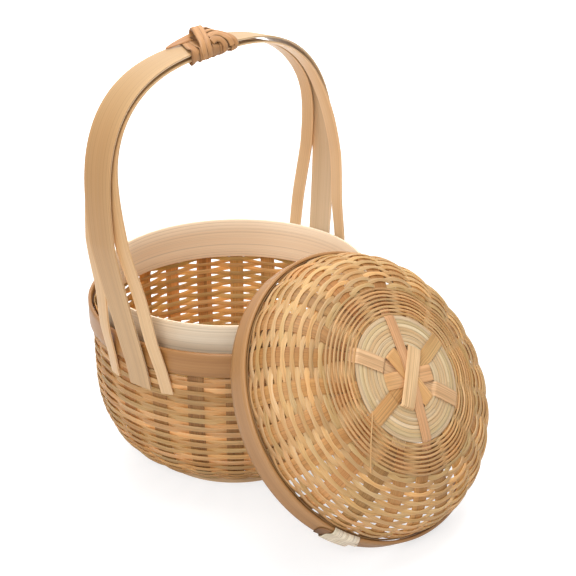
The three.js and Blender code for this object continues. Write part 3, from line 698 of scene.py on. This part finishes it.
for place, name, outer, inner in (
        (0, "handle_strap", (0.64, 0.6, 0.52), (0.9, 1.0, 1.17)),
        (-1, "handle_side_strap_front", (0.84, 0.84, 0.82), (1.08, 1.13, 1.22)),
        (1, "handle_side_strap_rear", (0.82, 0.8, 0.76), (0.99, 1.01, 1.05))):
    strap = new_batch()
    path, normal, width = strap_line(place, np.linspace(-1, 1, STRAP_POINTS))
    low_share = 1 - smooth(path[:, 2], *PALE_FOOT_FADE)
    # The painted sheen at the top of the arch is added to the tone here.
    sheen_share = smooth(path[:, 2], *TOP_SHEEN_FADE)
    paler = 1 + PALE_FOOT * low_share[:, None] + TOP_PAINTED_SHEEN * sheen_share[:, None]
    sweep(strap, path, normal, width / 2, STRAP_THICKNESS / 2, strap_section, np.array(outer) * paler,
          STRAP_GRAIN_STEP * place + STRAP_GRAIN, edge_gain=STRAP_EDGE, back=np.array(inner) / outer)
    make_piece(name + "_planed", strap, basket_frame, strap_bamboo, "basket", [name])

# Knot of cane.
# The three straps are tied at the top with flat damp cane. Slanted wraps go round them all, two strips
# cross over the wraps, and five more run on over a core in painted shade and turn down. A pointed end lies on
# the left.
# Painted shade darkens the cane's edges, for the shade between strips and turns.
CANE_PAINTED_EDGE_SHADE = -0.45
CANE_SPREAD = 0.02
CANE_THICKNESS = 2.0
KNOT_HALF_WIDTH = 13.0
KNOT_HALF_HEIGHT = 7.0
KNOT_MIDDLE = 3.5
WRAP_HALF_WIDTH = 13.1
WRAP_MIDDLE = -3.0
WRAP_THICKNESS = 1.2
WRAP_SQUARENESS = 0.45
WRAP_FACING_SQUARENESS = 1.2
WRAP_POINTS = 73
# Each wrap: its middle along the handle, slant, width, half height and tone.
KNOT_WRAPS = (
    (-24.5, 9.5, 8.2, 4.1, 0.94),
    (-18.5, 7.5, 6.6, 4.4, 0.88),
    (-13, 5, 7.4, 4.5, 0.84),
    (-8, 3.5, 7.2, 4.5, 0.82),
    (-2, 2.4, 7.2, 4.4, 0.86),
    (9.6, 1.5, 6.4, 4.1, 1.02))
# Each strip: its places along the handle, across it and above the wide strap, its width and tone.
KNOT_STRIPS = (
    (((-24, -13.4, -6), (-25.4, -13.8, -1.4), (-23.4, -11, 3.4), (-18.8, -4.6, 6.6), (-14, 2, 9),
      (-10.4, 7, 9.4), (-8.4, 10.4, 6.4), (-8, 11.4, 2)), 5.4, 1.06),
    (((-18.6, -13.4, -6), (-19.8, -13.8, -1.2), (-18, -11, 3.6), (-13.4, -4.6, 6.8), (-8.8, 2, 9.2),
      (-5.4, 7, 9.4), (-3.4, 10.4, 6.2), (-3, 11.4, 2)), 4.8, 1.0),
    (((-14, -11, 3), (-9, -10.4, 4), (-5, -12, 2.8), (-3, -13.9, -1), (-3, -13.8, -5)), 5.4, 0.92),
    (((-11, -5.6, 5), (-4.6, -5.4, 6), (1, -8, 4.6), (4, -12.2, 1.6), (4.8, -13.9, -2.4)), 5.2, 1.02),
    (((-8, 0, 7), (-2, 0, 7.2), (3.4, -3, 5.6), (7.4, -8.6, 3.2), (9.4, -12.4, 0.6), (9.8, -13.9, -3)),
     5.0, 0.98),
    (((-6, 5, 8.2), (-0.6, 5.4, 7.6), (5, 4.2, 5.4), (9, 0, 3.2)), 5.0, 1.04),
    (((-4, 9.4, 7), (0.6, 9.8, 5.6), (5, 11, 2.4), (7, 12.6, -1)), 4.8, 0.94))
KNOT_CORE_PLACES = ((-13, -1, 2.6), (-8, 1, 3.4), (0, 1, 3.2), (7, 0, 2))
KNOT_CORE_WIDTH = 17
KNOT_CORE_THICKNESS = 4
# The core is tinted dark as painted shade, for the shade under the strips.
KNOT_CORE_PAINTED_SHADE = 0.5
LEAF_PLACES = ((-9, 7.2, 4.2), (-19, 7.4, 3.4), (-29, 8.6, 2.2), (-38, 9.8, 0.9))
LEAF_FACING = np.array([0.0, -0.45, 1.0])
LEAF_HALF_WIDTH = 3.7
LEAF_THICKNESS = 1.0
LEAF_POINT = 0.004
LEAF_TONE = 0.98
LEAF_EDGE = 0.1
cane_section = rounded_section(3, 14)
# Split cane, wound damp: ruddy brown and dull, with painted shade darkening the edges where two turns meet.
cane = bamboo(
    "split cane, wound damp",
    [(0.3, "935f37"), (0.45, "ae7b4a"), (0.6, "bc8c5b"), (0.76, "cda476")],
    fibre_mm=(40, 0.6), patch_mm=(60, 5), vessel_mm=(90, 0.8), vessel_depth=0.22,
    roughness=(0.4, 0.58), bump_mm=0.1, glow=0.05)


def on_strap(x, y, z):
    """The place at a distance along the handle from its top, across it, and above the wide strap's face."""
    span = np.clip(np.abs(x) / SHOULDER_HALF_SPAN, 0, 1)
    power = np.where(x < 0, ARCH_ROUNDNESS[-1], ARCH_ROUNDNESS[1])
    height = SHOULDER_HEIGHT + (HANDLE_TOP - SHOULDER_HEIGHT) * (1 - span ** power) ** (1 / power)
    height = height + STRAP_THICKNESS / 2 + z
    return np.stack([x, y + math.tan(HANDLE_LEAN) * (height - BAND_BOTTOM), height], -1)


def smooth_line(points, count=60):
    """A soft curve through points."""
    points = np.array(points, float)
    place = np.concatenate([[0], np.cumsum(np.linalg.norm(np.diff(points, axis=0), axis=1))])
    slope = np.gradient(points, place, axis=0)
    at = np.linspace(0, place[-1], count)
    first = np.clip(np.searchsorted(place, at) - 1, 0, len(points) - 2)
    gap = (place[first + 1] - place[first])[:, None]
    t = ((at - place[first]) / gap[:, 0])[:, None]
    return ((2 * t ** 3 - 3 * t ** 2 + 1) * points[first] + (t ** 3 - 2 * t ** 2 + t) * gap * slope[first]
            + (3 * t ** 2 - 2 * t ** 3) * points[first + 1] + (t ** 3 - t ** 2) * gap * slope[first + 1])


def cane_strip(batch, points, width, thickness, tone):
    """A flat cane strip through places on the handle, facing away from the straps."""
    line = smooth_line(points)
    facing = np.stack([
        0 * line[:, 0], line[:, 1] / KNOT_HALF_WIDTH, (line[:, 2] + KNOT_MIDDLE) / KNOT_HALF_HEIGHT], 1)
    sweep(batch, on_strap(*line.T), unit(facing), width / 2, thickness / 2, cane_section, tone, own_grain(),
          edge_gain=CANE_PAINTED_EDGE_SHADE)


def cane_wrap(batch, middle, slant, width, half_height, tone):
    """One turn of cane round all three straps, slanted along them."""
    turn = np.linspace(0, 2 * np.pi, WRAP_POINTS)
    cos, sin = np.cos(turn), np.sin(turn)
    y = WRAP_HALF_WIDTH * np.sign(cos) * np.abs(cos) ** WRAP_SQUARENESS
    z = WRAP_MIDDLE + half_height * np.sign(sin) * np.abs(sin) ** WRAP_SQUARENESS
    facing = np.stack([
        0 * cos, cos * np.abs(cos) ** WRAP_FACING_SQUARENESS, sin * np.abs(sin) ** WRAP_FACING_SQUARENESS], 1)
    path = on_strap(middle + slant * y / WRAP_HALF_WIDTH, y, z)
    path[-1] = path[0]
    sweep(batch, path, unit(facing), width / 2, WRAP_THICKNESS / 2, cane_section, tone, own_grain(),
          edge_gain=CANE_PAINTED_EDGE_SHADE)


knot = new_batch()
for middle, slant, width, half_height, tone in KNOT_WRAPS:
    cane_wrap(knot, middle, slant, width, half_height, tinted(CANE_SPREAD) * tone)
for points, width, tone in KNOT_STRIPS:
    cane_strip(knot, points, width, CANE_THICKNESS, tinted(CANE_SPREAD) * tone)
cane_strip(knot, KNOT_CORE_PLACES, KNOT_CORE_WIDTH, KNOT_CORE_THICKNESS, tinted(CANE_SPREAD) * KNOT_CORE_PAINTED_SHADE)
leaf = smooth_line(LEAF_PLACES)
taper = np.sqrt(np.linspace(1, LEAF_POINT, len(leaf)))
sweep(knot, on_strap(*leaf.T), unit(LEAF_FACING) + 0 * leaf, LEAF_HALF_WIDTH * taper, LEAF_THICKNESS / 2,
      cane_section, tinted(CANE_SPREAD) * LEAF_TONE, own_grain(), edge_gain=LEAF_EDGE)
make_piece("knot_cane_turns", knot, basket_frame, cane, "basket", [
    "knot_wrap_left", "knot_wrap_right", "knot_strand_under", "knot_strand_over", "knot_tail"])

# Woven lid of split bamboo.
# A domed weave on the same star of crossed strips as the base: fine pale rows, a dense ring, then the open
# rows, down to a hoop that slides over the collar. The lid is off, and leans on the collar's edge.
LID_TILT = math.radians(53.7)
LID_TURN = math.radians(-9)
LID_HOOP_HEIGHT = 16.0
LID_APEX = 60.5
LID_LAP = 4.0
LID_PITCH = 3.1
LID_CROWN = 0.78
LID_DENSE_END = 67.5
LID_FIRST_ROW_GAP = 1.5
LID_LAST_ROW_GAP = 1.0
DOME_RADIUS = 101.5
DOME_ROUNDNESS = 2.4
STAR_TURN = math.radians(19)
RIM_STRIP_INSET = 2.4
RIM_STRIP_DEPTH = 0.45
RIM_STRIP_WIDTH = 4.4
# A dark ring behind the hoop's top edge, tinted as painted shade for the shaded gap between hoop and weave.
RIM_STRIP_PAINTED_SHADE = np.array((0.62, 0.5, 0.4))
hoop_low, hoop_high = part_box("lid_hoop")
lid_turned = Matrix.Rotation(LID_TURN, 4, "Z") @ Matrix.Rotation(LID_TILT, 4, "X")
lid_axis = lid_turned @ Vector((0, 0, 1))
lid_centre = (hoop_low + hoop_high) / 2 / MM - lid_axis * LID_HOOP_HEIGHT / 2
lid_frame = Matrix.Translation(lid_centre) @ lid_turned
dome_profile = trace([
    super_arc((0, LID_HOOP_HEIGHT), (DOME_RADIUS, LID_APEX - LID_HOOP_HEIGHT), DOME_ROUNDNESS),
    np.array([(DOME_RADIUS, LID_HOOP_HEIGHT), (DOME_RADIUS, LID_HOOP_HEIGHT - LID_LAP)]),
], 1)
lid_rows = new_batch()
lid_row_places = np.arange(
    LID_DENSE_END + LID_FIRST_ROW_GAP, dome_profile["length"] - LID_LAST_ROW_GAP, LID_PITCH)
for index, distance in enumerate(lid_row_places):
    weave_row(lid_rows, dome_profile, distance, LID_PITCH, index % 2, STAR_TURN + HALF_STAKE_STEP, LID_CROWN)
centre_rows(lid_rows, dome_profile, STAR_TURN, LID_DENSE_END)
plain_ring(lid_rows, dome_profile, dome_profile["length"] - RIM_STRIP_INSET, RIM_STRIP_DEPTH,
           RIM_STRIP_WIDTH, STAR_TURN, RIM_STRIP_PAINTED_SHADE)
make_piece("lid_weavers", lid_rows, lid_frame, weaver_bamboo, "lid",
           ["lid_weave", "lid_centre_weave"])

# Crossed stakes of the lid.
# The same six bamboo strips cross at the top of the dome, where they show as a star, and their split ends
# run down inside the open rows to the hoop.
lid_strips = new_batch()
crossed_strips(lid_strips, dome_profile, STAR_TURN)
for number in range(STAKES):
    wall_stake(lid_strips, dome_profile, number, STAR_TURN - HALF_STAKE_STEP)
make_piece("lid_stakes", lid_strips, lid_frame, stake_bamboo, "lid",
           [f"lid_stake_{i}" for i in range(1, 7)])

# Hoop of the lid.
# One shaved bamboo board, with some of its skin left on, is bent round the edge of the dome and holds the
# ends of its stakes.
LID_HOOP_RADIUS = 104.4
LID_HOOP_THICKNESS = 2.6
LID_HOOP_TINT = (1.06, 1.13, 1.36)
lid_ring = hoop(LID_HOOP_RADIUS, LID_HOOP_THICKNESS, 0, LID_HOOP_HEIGHT, LID_HOOP_TINT)
make_piece("lid_hoop_board", lid_ring, lid_frame, tan_board, "lid", ["lid_hoop"])

# Binding of the lid's hoop.
# Nine turns of pale cane are wound round the hoop where its ends are lapped, and drawn tight through the
# weave. Three cut ends of cane stand out beside them.
BINDING_ANGLE = math.radians(226.6)
BINDING_TURNS = 9
BINDING_POINTS = 50
BINDING_SPREAD = 0.035
BINDING_TONE = 0.9
# Painted shade on the edges of the turns, for the fine dark lines between them.
BINDING_PAINTED_GAP_SHADE = -0.35
TURN_WIDTH = 2.35
TURN_HALF_SHARE = 0.49
TURN_SLANT = (0.4, 0.25)
TURN_HALF_THICKNESS = 0.26
TURN_THICKNESS_SPREAD = 0.05
# The way of a turn round the hoop, radius and height: from inside the dome, under it and up its outside.
TURN_PLACES = (
    (101.0, 11.2), (100.6, 5.0), (101.0, -0.7), (103.2, -1.3), (105.1, -0.4), (105.3, 8.0), (105.2, 16.4),
    (103.6, 17.2), (102.3, 16.9))
# Each cut end: its angle in degrees, its reach along the hoop and its height on it.
CUT_ENDS = ((232.4, 5.4, 4.5), (232.7, 4.2, 7.0), (232.4, 3.0, 10.5))
CUT_END_POINTS = 12
CUT_END_PROUD = 0.7
CUT_END_LIFT = 0.5
CUT_END_RISE = 1.2
CUT_END_HALF_WIDTH = 0.9
CUT_END_HALF_THICKNESS = 0.35
CUT_END_SPREAD = 0.04
CUT_END_TONE = 0.95
turn_section = rounded_section(3.2, 12)
cut_end_section = rounded_section(2.6, 8)
# Scraped cane: the palest material here, nearly white, dry and matt; painted shade gives fine dark lines
# between the turns.
pale_cane = bamboo(
    "scraped cane, pale",
    [(0.3, "cdb697"), (0.45, "dfceb4"), (0.6, "eadcc6"), (0.76, "f3e9da")],
    fibre_mm=(30, 0.5), patch_mm=(50, 4), vessel_mm=(80, 0.8), vessel_depth=0.16,
    roughness=(0.45, 0.62), bump_mm=0.1, glow=0.08)
binding = new_batch()
turn_line = smooth_line(TURN_PLACES, BINDING_POINTS)
turn_along = np.gradient(turn_line, axis=0)
for turn in range(BINDING_TURNS):
    angle = BINDING_ANGLE + (turn - (BINDING_TURNS - 1) / 2) * TURN_WIDTH / LID_HOOP_RADIUS
    slant = np.linspace(-0.5, 0.5, BINDING_POINTS) * rng.normal(*TURN_SLANT) / LID_HOOP_RADIUS
    path, out = on_circle(turn_line[:, 0], angle + slant, turn_line[:, 1])
    normal = out * turn_along[:, 1:] - np.array((0, 0, 1)) * turn_along[:, :1]
    half_thickness = TURN_HALF_THICKNESS + TURN_THICKNESS_SPREAD * rng.random()
    sweep(binding, path, unit(normal), TURN_WIDTH * TURN_HALF_SHARE, half_thickness, turn_section,
          tinted(BINDING_SPREAD) * BINDING_TONE, own_grain(), edge_gain=BINDING_PAINTED_GAP_SHADE)
end_share = np.linspace(0, 1, CUT_END_POINTS)
for start, reach, rise in CUT_ENDS:
    angle = np.radians(start) + np.linspace(0, reach, CUT_END_POINTS) / LID_HOOP_RADIUS
    radius = LID_HOOP_RADIUS + CUT_END_PROUD + CUT_END_LIFT * end_share ** 2
    path, normal = on_circle(radius, angle, rise + np.linspace(0, CUT_END_RISE, CUT_END_POINTS))
    sweep(binding, path, normal, CUT_END_HALF_WIDTH, CUT_END_HALF_THICKNESS, cut_end_section,
          tinted(CUT_END_SPREAD) * CUT_END_TONE, own_grain())
make_piece("lid_binding_cane", binding, lid_frame, pale_cane, "lid", ["lid_binding"])

# Lap of the lid's hoop.
# The outer end of the hoop's board is cut to a blunt point and lies on the rest of it beside the binding.
# It is darkened towards its point with painted shade.
LAP_START = 217.8
LAP_TAPER_END = 220.4
LAP_END = 222.0
LAP_POINTS = 30
LAP_PROUD = 0.5
LAP_LOW_EDGE = 0.8
LAP_POINT_HALF = 1.2
LAP_GROWTH = 6.0
LAP_HALF_THICKNESS = 0.45
LAP_GRAIN = 40.0
# Painted shade at the lap's point, fading towards its wide end.
LAP_POINT_PAINTED_SHADE = (0.3, 0.24, 0.2)
LAP_SHADE_FADE = (0.66, 0.7, 0.72)
LAP_SHADE_POWER = 1.5
lap = new_batch()
angle = np.radians(np.linspace(LAP_START, LAP_END, LAP_POINTS))
half = LAP_POINT_HALF + LAP_GROWTH * smooth(np.degrees(angle), LAP_START, LAP_TAPER_END)
path, normal = on_circle(LID_HOOP_RADIUS + LAP_PROUD, angle, LAP_LOW_EDGE + half)
unshaded = np.linspace(0, 1, LAP_POINTS)[:, None] ** LAP_SHADE_POWER
sweep(lap, path, normal, half, LAP_HALF_THICKNESS, board_section, LAP_POINT_PAINTED_SHADE + unshaded * LAP_SHADE_FADE,
      LAP_GRAIN)
make_piece("lid_hoop_lap", lap, lid_frame, tan_board, "lid")

# Loose fibre on the lid.
# One thin fibre has come away from a bamboo strip of the star, and lies in a low curve across the dense ring
# and the first open rows.
FIBRE_START = 43.0
FIBRE_RUN = 31.0
FIBRE_ANGLE = 190.5
FIBRE_TURN = 25.5
FIBRE_CURVE = 0.77
FIBRE_CLEAR = 0.5
FIBRE_LIFT = 1.1
FIBRE_HALF_WIDTH = 0.45
FIBRE_HALF_THICKNESS = 0.3
FIBRE_TINT = (1.12, 1.12, 1.1)
FIBRE_GRAIN = 10.0
FIBRE_POINTS = 60
fibre = new_batch()
share = np.linspace(0, 1, FIBRE_POINTS)
angle = np.radians(FIBRE_ANGLE + FIBRE_TURN * share ** FIBRE_CURVE)
path, normal = on_surface(dome_profile, FIBRE_START + FIBRE_RUN * share, angle,
                          -FIBRE_CLEAR - FIBRE_LIFT * np.sin(np.pi * share))
sweep(fibre, path, normal, FIBRE_HALF_WIDTH, FIBRE_HALF_THICKNESS, rounded_section(2.2, 6), FIBRE_TINT,
      FIBRE_GRAIN)
make_piece("lid_loose_fibre", fibre, lid_frame, weaver_bamboo, "lid")

# Stage.
# A plain pale floor under soft studio light, and the camera at the photograph's angle. Sizes are in metres.
FLOOR_HALF = 6.0
FLOOR_BOUNCE = 0.82
FLOOR_SHADE = 0.42
# Matt painted floor: greyish white with a soft shadow near the basket, fading to plain white far from it.
floor_material = bpy.data.materials.new("pale studio floor")
floor_material.use_nodes = True
floor_tree = floor_material.node_tree
floor_shader = floor_tree.nodes["Principled BSDF"]
floor_shader.inputs["Base Color"].default_value = (FLOOR_BOUNCE, FLOOR_BOUNCE, FLOOR_BOUNCE, 1)
floor_shader.inputs["Roughness"].default_value = 0.9
seen = add_node(floor_tree, "ShaderNodeLightPath", {}, {}).outputs["Is Camera Ray"]
shade = add_node(floor_tree, "ShaderNodeBsdfDiffuse", {}, {
    "Color": (FLOOR_SHADE, FLOOR_SHADE, FLOOR_SHADE, 1)})
spot = add_node(floor_tree, "ShaderNodeNewGeometry", {}, {}).outputs["Position"]
away = add_node(floor_tree, "ShaderNodeVectorMath", {"operation": "LENGTH"}, {0: spot}).outputs["Value"]
level = add_node(floor_tree, "ShaderNodeMapRange", {}, {
    "Value": away, "From Min": 0.5, "From Max": 2.5, "To Min": 0.68, "To Max": 1.0})
light = add_node(floor_tree, "ShaderNodeEmission", {}, {
    "Color": (*srgb("ffffff"), 1), "Strength": level.outputs[0]})
lifted = add_node(floor_tree, "ShaderNodeAddShader", {}, {0: shade.outputs[0], 1: light.outputs[0]})
floor_mix = add_node(floor_tree, "ShaderNodeMixShader", {}, {
    0: seen, 1: floor_shader.outputs[0], 2: lifted.outputs[0]})
floor_tree.links.new(floor_mix.outputs[0], floor_tree.nodes["Material Output"].inputs["Surface"])
floor_mesh = bpy.data.meshes.new("floor")
floor_corners = [(FLOOR_HALF * x, FLOOR_HALF * y, 0) for x, y in ((-1, -1), (1, -1), (1, 1), (-1, 1))]
floor_mesh.from_pydata(floor_corners, [], [(0, 1, 2, 3)])
floor_mesh.materials.append(floor_material)
floor = bpy.data.objects.new("floor", floor_mesh)
bpy.context.scene.collection.objects.link(floor)

world = bpy.data.worlds.new("studio")
bpy.context.scene.world = world
world.use_nodes = True
background = world.node_tree.nodes["Background"]
background.inputs["Color"].default_value = (*srgb("ffffff"), 1)
world_path = add_node(world.node_tree, "ShaderNodeLightPath", {}, {}).outputs
world_seen = add_node(world.node_tree, "ShaderNodeMath", {"operation": "MAXIMUM"}, {
    0: world_path["Is Camera Ray"], 1: world_path["Is Glossy Ray"]}).outputs[0]
world_level = add_node(world.node_tree, "ShaderNodeMapRange", {}, {
    "Value": world_seen, "To Min": 0.45, "To Max": 1.0})
world.node_tree.links.new(world_level.outputs[0], background.inputs["Strength"])


def softbox(name, place, aim, size, power, mirrored=True):
    """A square soft light that faces a point, and shows in shiny surfaces or not."""
    lamp = bpy.data.lights.new(name, "AREA")
    lamp.size = size
    lamp.energy = power
    light = bpy.data.objects.new(name, lamp)
    light.location = place
    light.rotation_euler = (Vector(aim) - Vector(place)).to_track_quat("-Z", "Y").to_euler()
    light.visible_glossy = mirrored
    bpy.context.scene.collection.objects.link(light)


softbox("overhead", place=(0.15, 0.05, 1.5), aim=(0, 0, 0.1), size=0.9, power=17)
softbox("left", place=(-1.37, -0.48, 1.07), aim=(0, 0, 0.12), size=0.8, power=18.5)
softbox("back", place=(1.15, 1.0, 0.8), aim=(0, 0.05, 0.08), size=1.2, power=36, mirrored=False)

CAMERA_PLACE = Vector((-0.6461, -0.5158, 0.5057))
CAMERA_TILT = math.radians(65.52)
CAMERA_TURN = math.radians(-54.2)
camera_data = bpy.data.cameras.new("camera")
camera_data.sensor_width = 36
camera_data.lens = 74.95
camera = bpy.data.objects.new("camera", camera_data)
camera.location = Vector(basket_axis) * MM + CAMERA_PLACE
camera.rotation_euler = (CAMERA_TILT, 0, CAMERA_TURN)
bpy.context.scene.collection.objects.link(camera)
bpy.context.scene.camera = camera
bpy.context.scene.view_settings.view_transform = "Standard"
